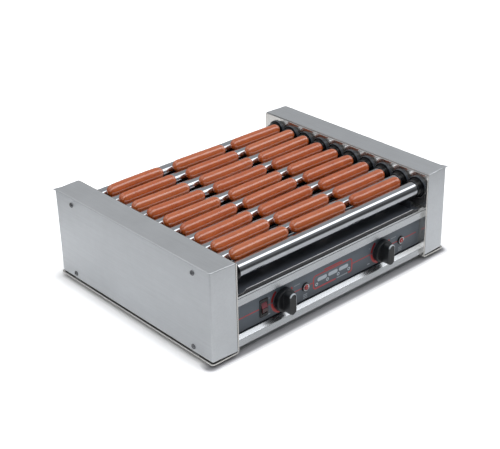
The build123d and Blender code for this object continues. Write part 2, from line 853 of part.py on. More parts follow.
def drip_tray():
    with BuildPart() as tray:
        # floor, with its side strips riding on the guides
        with BuildSketch(Plane.XY.offset(TRAY_Z)):
            with Locations((0, -8)):
                RectangleRounded(479, 427, 4)
        extrude(amount=1.0)
        for side in (-1, 1):
            with BuildSketch(Plane.XY.offset(TRAY_Z + 0.5)):
                with Locations((side * TRAY_WALL_X, -2)):
                    Rectangle(TRAY_WALL_T, 414)
            extrude(amount=TRAY_WALL_H)
        # back wall
        with BuildSketch(Plane.XY.offset(TRAY_Z + 0.5)):
            with Locations((0, 204.4)):
                Rectangle(2 * TRAY_WALL_X + TRAY_WALL_T, TRAY_WALL_T)
        extrude(amount=TRAY_WALL_H)
        left_half = [(-x, TRAY_Z + z) for x, z in TRAY_LIP]
        right_half = [(x, TRAY_Z + z) for x, z in reversed(TRAY_LIP)]
        with BuildSketch(at_y(-220.5)):
            with BuildLine():
                Polyline(*left_half, *right_half, close=True)
            make_face()
        extrude(amount=TRAY_WALL_T)
    return tray.part


# ------------------------------------------------------- feet, wiring and cord
BLOCK_XY = (150, 170)      # terminal block
# wire runs from the terminal block to the controls, as (x, y, z) points
WIRE_RUNS = (
    ((124, 170, 29), (60, 150, 40), (-60, 40, 24), (-150, -120, 40), (-166, -176, 56)),
    ((137, 170, 29), (90, 120, 42), (-40, -20, 26), (-110, -120, 48), (-120, -173, 68)),
    ((163, 170, 29), (170, 90, 44), (150, -60, 26), (140, -140, 50), (141, -173, 68)),
    ((176, 170, 29), (205, 120, 40), (200, 20, 34), (188, -110, 50), (191.6, -188, 62)),
)
CORD_R = 3.6
CORD_Y = 245.5 - CORD_R    # axis of the run behind the machine
CORD_Z = 3.9
PLUG_Y = 237.0


def feet():
    with BuildPart() as pads:
        for x in (-284, 284):
            for y in (-200, 200):
                with BuildSketch(Plane.XY):
                    with Locations((x, y)):
                        Circle(11.0)
                extrude(amount=SHELF_Z - 0.1, taper=-8)
        fillet(pads.faces().filter_by(Axis.Z).group_by(Axis.Z)[0].edges(), radius=1.0)
    return pads.part


def terminal_block():
    with BuildPart() as block:
        with BuildSketch(Plane.XY.offset(PAN_Z + SHEET_T + 0.1)):
            with Locations(BLOCK_XY):
                RectangleRounded(70, 22, 2)
        extrude(amount=16)
        # five open-topped pockets
        with BuildSketch(Plane.XY.offset(30)):
            with Locations(BLOCK_XY):
                with GridLocations(13, 1, 5, 1):
                    Rectangle(9, 15)
        extrude(amount=-9, mode=Mode.SUBTRACT)
    return block.part


def wiring():
    with BuildPart() as wires:
        for points in WIRE_RUNS:
            with BuildLine() as path:
                Spline(*points)
            run = path.edges()[0]
            with BuildSketch(Plane(origin=run @ 0, z_dir=run % 0)):
                Circle(1.4)
            sweep(path=run)
    return wires.part


def strain_relief():
    """Bored plug in the rear panel with a flange outside it."""
    with BuildPart() as relief:
        with BuildSketch(at_y(219)):
            with Locations(CORD_XZ):
                Circle(7.9)
        extrude(amount=-9.5)
        with BuildSketch(at_y(REAR_Y + 0.2)):
            with Locations(CORD_XZ):
                Circle(10.5)
        extrude(amount=-3.2)
        fillet(relief.faces().sort_by(Axis.Y)[-1].edges(), radius=0.8)
        with BuildSketch(at_y(215)):
            with Locations(CORD_XZ):
                Circle(CORD_R + 0.15)
        extrude(amount=-20, mode=Mode.SUBTRACT)
    return relief.part


def power_cord():
    """The cord leaves the back, drops to the worktop and runs along behind."""
    x, z = CORD_XZ
    with BuildPart() as cord:
        with BuildLine():
            Line((x, 216, z), (x, 231, z))
            Bezier((x, 231, z), (x, CORD_Y, z), (x, CORD_Y, CORD_Z), (150, CORD_Y, CORD_Z))
            Line((150, CORD_Y, CORD_Z), (-60, CORD_Y, CORD_Z))
        with BuildSketch(Plane(origin=(x, 216, z), z_dir=(0, 1, 0))):
            Circle(CORD_R)
        sweep()
    return cord.part


def power_plug():
    """Plug lying at the cord's left end, its blades pointing left."""
    face_x = -98
    with BuildPart() as plug:
        with BuildSketch(Plane.YZ.offset(-60.2)) as neck:
            with Locations((240.6, 7.2)):
                Circle(4.8)
        with BuildSketch(Plane.YZ.offset(-78)) as grip:
            with Locations((PLUG_Y, 13.0)):
                RectangleRounded(16.4, 25.0, 6)
        with BuildSketch(Plane.YZ.offset(face_x)) as face:
            with Locations((PLUG_Y, 13.0)):
                RectangleRounded(17.0, 25.4, 7)
        loft(sections=[face.sketch, grip.sketch])
        loft(sections=[grip.sketch, neck.sketch])
        # The three sections are still pending and are extruded with the blades.
        with BuildSketch(Plane.YZ.offset(face_x)):
            with Locations((PLUG_Y - 5.6, 15.5), (PLUG_Y + 5.6, 15.5)):
                Rectangle(1.5, 6.4)
        extrude(amount=-17)
        # earth pin
        with BuildSketch(Plane.YZ.offset(face_x)):
            with Locations((PLUG_Y, 6.5)):
                Circle(2.4)
        extrude(amount=-20)
    return plug.part


# --------------------------------------------------------------------- output
os.makedirs("parts", exist_ok=True)

for name, side in SIDES:
    save(end_plate(side), name + "_end_plate")
    save(cover(side), name + "_cover")
    save(bearing_seals(side), name + "_bearing_seals")

for (name, _), x in zip(SIDES, KNOB_X):
    save(heat_switch(x), name + "_heat_switch")
    save(switch_spindle(x), name + "_switch_spindle")
    save(heat_knob(x), name + "_knob")

save(folded_sheet(LOWER_RAIL, 1.6, SHEET_T, Side.RIGHT), "lower_front_rail")
save(folded_sheet(UPPER_RAIL, 1.7, SHEET_T, Side.RIGHT), "upper_front_rail")
save(placed(lamp_bezel(), LAMP_PLACES), "lamp_bezels")
save(placed(lamp_lens(), LAMP_PLACES), "lamp_lenses")

blank = sprocket_blank()
roller_sprocket = bored_sprocket(blank, JOURNAL_R + 0.03)
for number, y in enumerate(ROLL_Y, start=1):
    save(roller_tube(y), "roller_tube_%02d" % number)
    place = Location((SPROCKET_X, y, ROLL_Z))
    save(placed(roller_sprocket, [place]), "roller_sprocket_%02d" % number)
drive_place = Location((SPROCKET_X, DRIVE_Y, DRIVE_Z))
save(placed(bored_sprocket(blank, SHAFT_R + 0.02), [drive_place]), "drive_sprocket")

# the remaining pieces are saved under their functions' names
for piece in (
    cover_struts, cover_screws, base_pan, rear_panel, tray_guides, control_panel,
    power_switch_housing, power_rocker, heating_rods, terminal_insulators, element_bars,
    motor_bracket, gearbox, drive_motor, gearbox_shaft, drive_chain, drip_tray, feet,
    terminal_block, wiring, strain_relief, power_cord, power_plug,
):
    save(piece(), piece.__name__)
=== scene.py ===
"""Hot dog roller grill: materials, printed panel, sausages on the rollers, light and camera.

Metres, +Z up. The rollers run along X, the operator stands on the -Y side facing the control
panel, and the left knob is the one at -X.
"""

import math
from functools import reduce

import bmesh
import bpy
from mathutils import Matrix, Vector, noise


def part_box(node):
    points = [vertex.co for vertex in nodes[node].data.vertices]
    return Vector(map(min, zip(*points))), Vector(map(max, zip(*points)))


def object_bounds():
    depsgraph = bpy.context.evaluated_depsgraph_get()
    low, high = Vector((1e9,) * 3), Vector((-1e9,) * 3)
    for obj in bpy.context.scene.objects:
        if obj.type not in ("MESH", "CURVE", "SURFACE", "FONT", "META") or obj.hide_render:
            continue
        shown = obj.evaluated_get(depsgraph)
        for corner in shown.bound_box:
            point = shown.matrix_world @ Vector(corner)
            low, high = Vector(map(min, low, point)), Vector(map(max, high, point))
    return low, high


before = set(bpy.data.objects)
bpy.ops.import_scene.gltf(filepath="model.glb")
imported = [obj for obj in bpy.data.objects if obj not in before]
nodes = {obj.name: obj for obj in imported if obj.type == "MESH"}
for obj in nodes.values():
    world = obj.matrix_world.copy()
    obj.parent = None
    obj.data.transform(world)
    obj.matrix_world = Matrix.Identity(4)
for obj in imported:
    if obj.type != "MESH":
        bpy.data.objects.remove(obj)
cad_lo, cad_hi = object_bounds()
scene = bpy.context.scene


# ------------------------------------------------------- places read from the CAD pieces
def centre(name):
    lo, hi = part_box(name)
    return (lo + hi) / 2


def middle(name, axis):
    lo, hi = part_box(name)
    return (lo[axis] + hi[axis]) / 2


Y, Z = 1, 2
TUBES = ["roller_tube_%02d" % i for i in range(1, 11)]
ROLLER_SPROCKETS = ["roller_sprocket_%02d" % i for i in range(1, 11)]
ROLLER_Y = [middle(name, Y) for name in TUBES]
ROLLER_Z = middle(TUBES[0], Z)
ROLLER_RADIUS = (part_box(TUBES[0])[1].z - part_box(TUBES[0])[0].z) / 2

CONTROLS_Z = centre("left_knob").z          # height shared by the knobs, lamps and guide line
KNOBS_X = (centre("left_knob").x, centre("right_knob").x)
BEZEL_RADIUS = 0.0087                       # from the outer side of a bezel to its lamp's axis
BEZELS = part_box("lamp_bezels")
LAMPS_X = (BEZELS[0].x + BEZEL_RADIUS, BEZELS[1].x - BEZEL_RADIUS)
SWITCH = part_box("power_switch_housing")
ROCKER_Z = middle("power_rocker", Z)


# -------------------------------------------------------------------------- node helpers
def srgb(red, green, blue):
    """8-bit display colour to linear RGBA."""
    out = []
    for c in (red, green, blue):
        c = c / 255.0
        out.append(c / 12.92 if c <= 0.04045 else ((c + 0.055) / 1.055) ** 2.4)
    return (*out, 1.0)


class Shader:
    """A node tree under construction. Most methods add nodes and return an output socket;
    any argument that feeds a node may be a number, a tuple or such a socket."""

    SOCKETS = {
        "color": "Base Color", "metallic": "Metallic", "rough": "Roughness",
        "normal": "Normal", "spec": "Specular IOR Level", "aniso": "Anisotropic",
        "tangent": "Tangent", "coat": "Coat Weight", "coat_rough": "Coat Roughness",
        "coat_normal": "Coat Normal", "coat_ior": "Coat IOR", "sub": "Subsurface Weight",
        "sub_radius": "Subsurface Radius", "sub_scale": "Subsurface Scale",
        "emit": "Emission Color", "emit_strength": "Emission Strength",
    }

    def __init__(self, owner, output="OutputMaterial"):
        owner.use_nodes = True
        self.owner = owner
        self.tree = owner.node_tree
        self.tree.nodes.clear()
        self.output = self.tree.nodes.new("ShaderNode" + output)
        self._object = None

    def put(self, sock, value):
        if isinstance(value, bpy.types.NodeSocket):
            self.tree.links.new(value, sock)
        else:
            sock.default_value = value

    def node(self, kind, out=0, ins=None, **props):
        n = self.tree.nodes.new("ShaderNode" + kind)
        for key, value in props.items():
            setattr(n, key, value)
        for key, value in (ins or {}).items():
            self.put(n.inputs[key], value)
        return n.outputs[out]

    def surface(self, socket):
        """Link the finished shader and return the material or world."""
        self.put(self.output.inputs["Surface"], socket)
        return self.owner

    def bsdf(self, **ins):
        named = {self.SOCKETS[key]: value for key, value in ins.items()}
        return self.surface(self.node("BsdfPrincipled", ins=named))

    # arithmetic
    def math(self, op, a, b=0.0):
        return self.node("Math", ins={0: a, 1: b, 2: 0.0}, operation=op)

    def add(self, a, b):
        return self.math("ADD", a, b)

    def sub(self, a, b):
        return self.math("SUBTRACT", a, b)

    def mul(self, *factors):
        return reduce(lambda a, b: self.math("MULTIPLY", a, b), factors)

    def any_of(self, *masks):
        return reduce(lambda a, b: self.math("MAXIMUM", a, b), masks)

    def abs(self, a):
        return self.math("ABSOLUTE", a)

    def hypot(self, a, b):
        return self.math("SQRT", self.add(self.mul(a, a), self.mul(b, b)))

    def wave(self, value, freq):
        return self.math("SINE", self.mul(value, freq))

    def vary(self, start, by, gain):
        """start + by * gain"""
        return self.add(start, self.mul(by, gain))

    def sway(self, start, by, gain):
        """start + (by - 0.5) * gain"""
        return self.vary(start, self.sub(by, 0.5), gain)

    def rise(self, value, low, high, start=0.0, end=1.0, smooth=False):
        """From start at low to end at high, clamped."""
        return self.node(
            "MapRange", clamp=True, interpolation_type="SMOOTHSTEP" if smooth else "LINEAR",
            ins={"Value": value, "From Min": low, "From Max": high,
                 "To Min": start, "To Max": end})

    def fall(self, value, low, high, smooth=False):
        return self.rise(value, low, high, 1.0, 0.0, smooth)

    def band(self, value, rise, fall, smooth=False):
        """1 between two soft limits, each given as (low, high)."""
        return self.mul(self.rise(value, *rise, smooth=smooth),
                        self.fall(value, *fall, smooth=smooth))

    def dot(self, a, b):
        return self.node("VectorMath", out="Value", ins={0: a, 1: b}, operation="DOT_PRODUCT")

    def scale(self, vector, factor):
        return self.node("VectorMath", out="Vector", ins={0: vector, "Scale": factor},
                         operation="SCALE")

    # coordinates and textures
    def object(self):
        if self._object is None:
            self._object = self.node("TexCoord", out="Object")
        return self._object

    def xyz(self, vector=None):
        n = self.tree.nodes.new("ShaderNodeSeparateXYZ")
        self.put(n.inputs[0], self.object() if vector is None else vector)
        return n.outputs

    def scaled(self, cells):
        """Object coordinates in cells per metre: one number, or one for each axis."""
        if not isinstance(cells, tuple):
            cells = (cells,) * 3
        return self.node("VectorMath", out="Vector", ins={0: self.object(), 1: cells},
                         operation="MULTIPLY")

    def noise(self, cells, detail=3.0, rough=0.6, warp=0.0):
        return self.node("TexNoise", out="Fac", ins={
            "Vector": self.scaled(cells), "Scale": 1.0, "Detail": detail,
            "Roughness": rough, "Distortion": warp})

    def pits(self, cells, radius):
        """1 at scattered points, fading to 0 at radius, in cells."""
        distance = self.node("TexVoronoi", out="Distance",
                             ins={"Vector": self.scaled(cells), "Scale": 1.0})
        return self.fall(distance, 0.0, radius)

    # colour
    def mix(self, fac, a, b):
        return self.node("Mix", out=2, ins={0: fac, 6: a, 7: b},
                         data_type="RGBA", clamp_factor=True)

    def blend(self, by, a, b, low, high):
        """Colour a where by is under low, b where it is over high."""
        return self.mix(self.rise(by, low, high), a, b)

    def tint(self, col, towards, where, amount):
        return self.mix(self.mul(where, amount), col, towards)

    def float_mix(self, fac, a, b):
        return self.node("Mix", ins={0: fac, 2: a, 3: b}, data_type="FLOAT")

    def ramp(self, fac, *stops):
        n = self.tree.nodes.new("ShaderNodeValToRGB")
        elements = n.color_ramp.elements
        while len(elements) > 1:
            elements.remove(elements[-1])
        elements[0].position, elements[0].color = stops[0]
        for position, color in stops[1:]:
            elements.new(position).color = color
        self.put(n.inputs[0], fac)
        return n.outputs[0]

    # normals
    def bevel(self, radius):
        return self.node("Bevel", ins={"Radius": radius}, samples=4)

    def bump(self, height, strength, depth, over=None, bevel=None):
        """Relief laid over another normal, or over edges rounded to the bevel radius."""
        ins = {"Strength": strength, "Distance": depth, "Height": height}
        if bevel is not None:
            over = self.bevel(bevel)
        if over is not None:
            ins["Normal"] = over
        return self.node("Bump", ins=ins)

    def edge(self, radius, low=0.02, high=0.25):
        """1 near an edge: how far the rounded normal leaves the face's own normal."""
        face = self.node("NewGeometry", out="Normal")
        return self.rise(self.sub(1.0, self.dot(self.bevel(radius), face)), low, high)

    def tangent(self, direction):
        return self.node("VectorTransform", ins={0: direction}, vector_type="VECTOR",
                         convert_from="OBJECT", convert_to="WORLD")

    # signed distances on a flat face, in metres, for marks
    def box_distance(self, u, v, cu, cv, half_u, half_v, radius=0.0):
        du = self.sub(self.abs(self.sub(u, cu)), half_u - radius)
        dv = self.sub(self.abs(self.sub(v, cv)), half_v - radius)
        outside = self.hypot(self.math("MAXIMUM", du, 0.0), self.math("MAXIMUM", dv, 0.0))
        inside = self.math("MINIMUM", self.math("MAXIMUM", du, dv), 0.0)
        return self.sub(self.add(outside, inside), radius)

    def ring_distance(self, u, v, cu, cv, radius, half_width):
        distance = self.hypot(self.sub(u, cu), self.sub(v, cv))
        return self.sub(self.abs(self.sub(distance, radius)), half_width)

    def ink(self, distance, soft=0.00012):
        return self.fall(distance, -soft, soft)


def material(name):
    return Shader(bpy.data.materials.new(name))


def assign(mat, *names):
    for name in names:
        slots = nodes[name].data.materials
        slots.clear()
        slots.append(mat)


# -------------------------------------------------------------------------------- metals
def brushed(name, base, rough, grain, across, blotch, edge_highlight_gain, streak=0.05, aniso=0.55,
            metal=1.0, lip=0.0):
    """Brushed sheet steel: fine lines along the grain axis, faint rolling marks, cloudy handling
    marks, slightly polished edges with a painted highlight along them, and optional painted
    shade on the folded front edge. across is the tangent direction."""
    t = material(name)
    # few cells along the grain, so that noise becomes long thin lines
    fine = t.noise(tuple(26.0 if axis == grain else 2200.0 for axis in "xyz"), rough=0.62)
    coarse = t.noise(tuple(7.0 if axis == grain else 260.0 for axis in "xyz"))
    cloud = t.noise(9, rough=0.55, warp=0.3)
    speck = t.noise(55, detail=2.0, rough=0.5)
    edge = t.edge(0.0011)
    lum = t.mul(t.sub(fine, 0.5), streak)
    lum = t.sway(lum, coarse, gain=streak * 1.2)
    lum = t.sway(lum, cloud, gain=blotch)
    lum = t.sway(lum, speck, gain=blotch * 0.35)
    # painted highlight: the colour is lightened along the edges by the edge gain
    lum = t.vary(t.add(lum, 1.0), edge, gain=edge_highlight_gain)
    if lip:      # painted shade: the folded front edge is darker than the flats, so that its highlight doesn't flare
        rounded = t.bevel(0.0006)
        fold = t.mul(t.dot(rounded, (0.0, -1.0, 0.0)), t.dot(rounded, (0.0, 0.0, 1.0)))
        lum = t.mul(lum, t.rise(fold, low=0.08, high=0.35, start=1.0, end=1.0 - lip))
    roughness = t.sway(t.sway(rough, cloud, gain=0.05), fine, gain=0.10)
    normal = t.bump(fine, strength=0.10, depth=0.00006, bevel=0.0004)
    return t.bsdf(color=t.scale(base[:3], lum), metallic=metal, aniso=aniso,
                  rough=t.sub(roughness, t.mul(edge, 0.06)),
                  normal=t.bump(cloud, strength=0.05, depth=0.0015, over=normal),
                  tangent=t.tangent(across))


STEEL = srgb(218, 221, 224)
RAIL = dict(base=srgb(206, 209, 212), rough=0.26, grain="x", across=(0, 1, 1),
            blotch=0.14, edge_highlight_gain=0.06, streak=0.10, aniso=0.5)
assign(brushed("stainless_cover", STEEL, rough=0.42, grain="y", across=(1, 0, 1),
               blotch=0.15, edge_highlight_gain=0.04, streak=0.10), "left_cover", "right_cover")
assign(brushed("stainless_rail", **RAIL), "lower_front_rail")
assign(brushed("stainless_upper_rail", **RAIL, lip=0.6), "upper_front_rail")
assign(brushed("stainless_plate", srgb(226, 224, 220), rough=0.17, grain="y",
               across=(0, 0, 1), blotch=0.07, edge_highlight_gain=0.1, aniso=0.35, metal=0.93),
       "left_end_plate", "right_end_plate")
assign(brushed("galvanised_pan", srgb(160, 164, 168), rough=0.42, grain="x",
               across=(0, 1, 1), blotch=0.14, edge_highlight_gain=0.2, aniso=0.2),
       "base_pan", "cover_struts", "motor_bracket", "tray_guides")
assign(brushed("stainless_rear", STEEL, rough=0.36, grain="x", across=(0, 0, 1),
               blotch=0.06, edge_highlight_gain=0.2), "rear_panel")


def chrome_roller():
    """Hard chrome tube: hairline turning marks, faint grease haze and tiny pits."""
    t = material("chrome_roller")
    turning = t.noise((5200, 60, 60), detail=2.0)
    haze = t.noise((16, 60, 60), detail=4.0, warp=0.6)
    film = t.noise((60, 180, 180))
    col = t.blend(haze, srgb(204, 207, 212), srgb(186, 189, 193), low=0.35, high=0.75)
    col = t.tint(col, srgb(120, 112, 100), t.pits(420, radius=0.10), amount=0.35)
    rough = t.vary(0.075, t.rise(haze, low=0.4, high=0.8), gain=0.09)
    return t.bsdf(color=col, metallic=1.0, rough=t.sway(rough, film, gain=0.05), aniso=0.3,
                  normal=t.bump(turning, strength=0.06, depth=0.00004, bevel=0.0005),
                  tangent=t.tangent((1.0, 0.0, 0.0)))


def oiled(name, base, dark, rough, cells):
    """Machined metal with a patchy dark film of oil and bright edges."""
    t = material(name)
    film = t.noise(cells, detail=4.0)
    grain = t.noise(cells * 9, detail=2.0, rough=0.5)
    col = t.blend(film, base, dark, low=0.35, high=0.7)
    col = t.tint(col, srgb(205, 203, 198), t.edge(0.0008), amount=0.6)
    return t.bsdf(color=col, metallic=1.0, rough=t.sway(rough, film, gain=0.25),
                  normal=t.bump(grain, strength=0.12, depth=0.0001, bevel=0.0003))


def screw_steel():
    """Zinc pan-head screw: bright rim from wear, and painted shade that blackens the cross
    recess and shank.
    """
    t = material("screw_steel")
    grime = t.noise(420, detail=4.0)
    recess_shade_ao = t.node("AmbientOcclusion", ins={"Distance": 0.004}, out="AO")
    col = t.blend(grime, srgb(150, 152, 155), srgb(86, 88, 90), low=0.35, high=0.7)
    # painted shade: near black where the surface is enclosed, in the cross recess and round the
    # shank
    col = t.blend(recess_shade_ao, srgb(16, 16, 17), col, low=0.25, high=0.75)
    col = t.tint(col, srgb(214, 216, 218), t.edge(0.0008, high=0.3), amount=0.7)
    return t.bsdf(color=col, metallic=0.9, rough=t.vary(0.22, grime, gain=0.2),
                  normal=t.bump(grime, strength=0.12, depth=0.0001, bevel=0.0004))


def heat_tinted():
    """Sheathed element: grey alloy, straw and blue heat tint along it, oxide freckles."""
    t = material("element_sheath")
    along = t.noise((22, 5, 5), detail=2.0, rough=0.5)
    freckles = t.noise(900)
    col = t.ramp(along, (0.3, srgb(96, 92, 88)), (0.45, srgb(122, 104, 78)),
                 (0.55, srgb(86, 78, 92)), (0.7, srgb(70, 78, 92)))
    col = t.blend(freckles, col, srgb(48, 44, 42), low=0.55, high=0.75)
    return t.bsdf(color=col, metallic=0.85, rough=t.vary(0.42, freckles, gain=0.2),
                  normal=t.bump(freckles, strength=0.2, depth=0.0001))


assign(chrome_roller(), *TUBES)
assign(oiled("sprocket_steel", srgb(150, 148, 143), srgb(92, 86, 78), rough=0.34, cells=90.0),
       "drive_sprocket", *ROLLER_SPROCKETS)
assign(oiled("chain_steel", srgb(120, 116, 108), srgb(58, 50, 42), rough=0.38, cells=160),
       "drive_chain")
assign(oiled("turned_spindle", srgb(196, 196, 194), srgb(160, 158, 154), rough=0.24,
             cells=200), "left_switch_spindle", "right_switch_spindle", "gearbox_shaft")
assign(screw_steel(), "cover_screws")
assign(oiled("bus_bar", srgb(188, 150, 104), srgb(142, 104, 66), rough=0.3, cells=120),
       "element_bars")
assign(heat_tinted(), "heating_rods")


# ------------------------------------------------------------ coats, rubber and plastics
def tray_enamel():
    """Glossy black coat: fine orange-peel, long wiping streaks, grease film, painted light
    towards the front, painted shade on the front face and a painted highlight along the front
    lip.
    """
    t = material("tray_coating")
    _, y, z = t.xyz()
    peel = t.noise((500, 700, 700), detail=2.0, rough=0.5)
    wipe = t.noise((6, 90, 90), warp=0.4)
    film = t.noise((4, 40, 40), rough=0.5)
    streaks = t.noise((900, 5, 5), detail=2.0, rough=0.5)
    edge = t.edge(0.0009)
    # painted highlight on the front face: its top band, and the edges in the band below
    lower_edge = t.mul(t.rise(z, 0.1150, 0.1160), t.rise(edge, 0.15, 0.5))
    lip_highlight = t.mul(t.rise(y, -0.2198, -0.2202), t.any_of(t.rise(z, 0.1207, 0.1211), lower_edge))
    # painted light: the tray floor is lighter towards the front
    near = t.rise(y, -0.130, -0.215, smooth=True)
    col = t.blend(film, srgb(36, 39, 44), srgb(52, 55, 61), low=0.35, high=0.72)
    col = t.tint(col, srgb(92, 97, 105), near, amount=0.8)
    # painted shade: the front face below the lip is darker
    col = t.blend(y, col, srgb(26, 28, 32), low=-0.2185, high=-0.2200)
    col = t.tint(col, srgb(100, 104, 110), edge, amount=0.25)
    col = t.mix(lip_highlight, col, srgb(238, 238, 240))
    streaks = t.mul(streaks, t.rise(y, -0.2195, -0.2185))
    peel_normal = t.bump(peel, strength=0.05, depth=0.0002, bevel=0.0006)
    normal = t.bump(streaks, strength=0.16, depth=0.0006, over=peel_normal)
    return t.bsdf(color=col, metallic=t.mul(lip_highlight, 0.25), spec=0.5, normal=normal,
                  rough=t.vary(0.30, t.rise(wipe, low=0.35, high=0.75), gain=0.16),
                  coat=t.mul(t.sub(1.0, lip_highlight), 0.2), coat_rough=0.22, coat_normal=normal)


def seal_rubber():
    """Black moulded bearing bush: fine turned ridges, dust, and painted highlights: paler edges
    and pale thin rings round the top of its flange and nose.
    """
    t = material("seal_black")
    x, y, z = t.xyz()
    ridge = t.wave(x, 2 * math.pi / 0.0009)
    # distance from the nearest roller's axis
    step = (ROLLER_Y[-1] - ROLLER_Y[0]) / (len(ROLLER_Y) - 1)
    shifted = t.add(t.sub(y, ROLLER_Y[0]), step / 2)
    across = t.sub(t.math("FLOORED_MODULO", shifted, step), step / 2)
    height = t.sub(z, ROLLER_Z)
    radius = t.hypot(across, height)
    # painted highlight: pale thin rings round the flange's outer edge and round the nose, on the
    # top half only
    outer_rim = t.band(radius, rise=(0.0211, 0.0213), fall=(0.0216, 0.0218))
    inner_rim = t.mul(t.rise(radius, 0.0160, 0.0163), t.fall(t.abs(x), 0.2308, 0.2316))
    seal_rim_highlight = t.mul(t.any_of(outer_rim, inner_rim), t.rise(height, -0.004, 0.012, smooth=True))
    dust = t.noise(260)
    col = t.blend(dust, srgb(5, 5, 7), srgb(13, 14, 16), low=0.5, high=0.8)
    # painted highlight: paler edges
    col = t.tint(col, srgb(90, 96, 104), t.edge(0.0012, high=0.3), amount=0.3)
    col = t.tint(col, srgb(128, 138, 150), seal_rim_highlight, amount=0.45)
    return t.bsdf(color=col, rough=t.vary(0.22, dust, gain=0.14), spec=0.25, coat=0.2,
                  coat_rough=0.05, normal=t.bump(t.add(t.mul(ridge, 0.2), dust),
                                                 strength=0.08, depth=0.00010, bevel=0.0007))


def knob_plastic():
    """Black knob: fine moulded stipple, handling haze, painted highlights on its edges and round
    the grip's rim.
    """
    t = material("knob_black")
    stipple = t.noise(2600, detail=2.0, rough=0.5)
    haze = t.noise(60)
    edge = t.edge(0.0011, high=0.22)
    x, y, z = t.xyz()
    u = t.sub(x, t.float_mix(t.math("GREATER_THAN", x, 0.0), *KNOBS_X))
    w = t.sub(z, CONTROLS_Z)
    # painted highlight on the rim: the band just inside the outline of the grip's front end
    outline = t.box_distance(u, w, 0.0, 0.0, half_u=0.0080, half_v=0.0217, radius=0.0079)
    rim = t.mul(t.rise(outline, -0.0021, -0.0013), t.rise(y, -0.2428, -0.2440))
    # the painted highlight sits at the top, and down the right side below the middle
    right_side = t.mul(t.rise(u, 0.0020, 0.0045), t.rise(w, -0.0090, 0.0010, smooth=True))
    lit = t.any_of(t.rise(w, 0.0140, 0.0175, smooth=True), right_side)
    patchy = t.rise(haze, low=0.30, high=0.55, start=0.55, end=1.0)
    grip_rim_highlight = t.mul(rim, t.float_mix(lit, 0.04, patchy))
    col = t.blend(haze, srgb(14, 16, 19), srgb(23, 26, 30), low=0.4, high=0.8)
    # painted highlight: paler edges
    col = t.tint(col, srgb(90, 98, 106), edge, amount=0.15)
    col = t.mix(grip_rim_highlight, col, srgb(206, 212, 218))
    return t.bsdf(color=col, rough=t.sub(t.vary(0.30, haze, gain=0.12), t.mul(edge, 0.10)),
                  spec=0.4, coat=0.35, coat_rough=0.08,
                  normal=t.bump(stipple, strength=0.08, depth=0.00008, bevel=0.0010))


def moulded(name, first, second, rough, cells, spec=0.5, bump=0.15, bevel=0.0004):
    """Moulded plastic or rubber with a fine texture, a faint change of tone, and a painted
    highlight along its edges.
    """
    t = material(name)
    texture = t.noise(cells)
    edge_highlight_colour = (*(min(1, c * 3 + 0.02) for c in second[:3]), 1)
    col = t.blend(t.noise(30), first, second, low=0.35, high=0.7)
    # painted highlight: paler edges
    col = t.tint(col, edge_highlight_colour, t.edge(0.0008), amount=0.25)
    return t.bsdf(color=col, rough=t.sway(rough, texture, gain=0.2), spec=spec,
                  normal=t.bump(texture, strength=bump, depth=0.00015, bevel=bevel))


assign(tray_enamel(), "drip_tray")
assign(seal_rubber(), "left_bearing_seals", "right_bearing_seals")
assign(knob_plastic(), "left_knob", "right_knob")
assign(moulded("switch_housing", srgb(14, 14, 16), srgb(24, 24, 26), rough=0.26, cells=900,
               spec=0.6, bump=0.08, bevel=0.0008), "power_switch_housing")
assign(moulded("bakelite", srgb(30, 26, 24), srgb(44, 36, 32), rough=0.42, cells=500),
       "left_heat_switch", "right_heat_switch", "terminal_block")
assign(moulded("foot_rubber", srgb(22, 22, 23), srgb(34, 33, 33), rough=0.7, cells=700,
               spec=0.35, bump=0.3), "feet")
assign(moulded("cord_rubber", srgb(20, 20, 22), srgb(32, 32, 34), rough=0.52, cells=900,
               spec=0.45, bump=0.25), "power_cord", "power_plug")
assign(moulded("relief_nylon", srgb(34, 34, 36), srgb(50, 50, 52), rough=0.45, cells=600),
       "strain_relief")
assign(moulded("ceramic", srgb(226, 222, 210), srgb(240, 238, 230), rough=0.4, cells=300,
               spec=0.6), "terminal_insulators")


# ------------------------------------------------------------------------- inner workings
def wiring():
    """Braided wire sleeves: the colour follows where the run of wire lies."""
    t = material("wire_sleeves")
    x, y, z = t.xyz()
    run = t.noise((3.0, 14.0, 3.0), detail=0.0, rough=0.0)
    col = t.ramp(run, (0.40, srgb(150, 34, 26)), (0.47, srgb(222, 220, 212)),
                 (0.53, srgb(28, 28, 30)), (0.60, srgb(34, 92, 58)))
    braid = t.mul(t.wave(t.add(y, z), 5200.0), t.wave(t.sub(x, z), 5200.0))
    return t.bsdf(color=col, rough=0.55, normal=t.bump(braid, strength=0.25, depth=0.0002))


def motor():
    """Motor: varnished laminations stacked along X, with brown grime."""
    t = material("motor_laminations")
    sheets = t.wave(t.xyz()[0], 2 * math.pi / 0.0011)
    grime = t.noise(70, detail=4.0)
    col = t.blend(sheets, srgb(70, 70, 72), srgb(108, 108, 108), low=-0.2, high=0.6)
    col = t.blend(grime, col, srgb(60, 44, 32), low=0.45, high=0.75)
    return t.bsdf(color=col, metallic=0.7, rough=t.vary(0.42, grime, gain=0.2),
                  normal=t.bump(sheets, strength=0.35, depth=0.0004, bevel=0.0005))


def casting():
    """Die-cast gearbox: bright cast skin, small dark pores, paler edges."""
    t = material("gearbox_casting")
    skin = t.noise(380, detail=4.0, rough=0.65)
    pores = t.pits(700, radius=0.14)
    col = t.mix(skin, srgb(168, 170, 172), srgb(132, 134, 137))
    col = t.tint(col, srgb(70, 70, 72), pores, amount=0.5)
    col = t.tint(col, srgb(215, 216, 218), t.edge(0.001), amount=0.4)
    return t.bsdf(color=col, metallic=0.9, rough=t.vary(0.42, skin, gain=0.2),
                  normal=t.bump(t.sub(skin, pores), strength=0.3, depth=0.0003,
                                bevel=0.0006))


assign(wiring(), "wiring")
assign(motor(), "drive_motor")
assign(casting(), "gearbox")


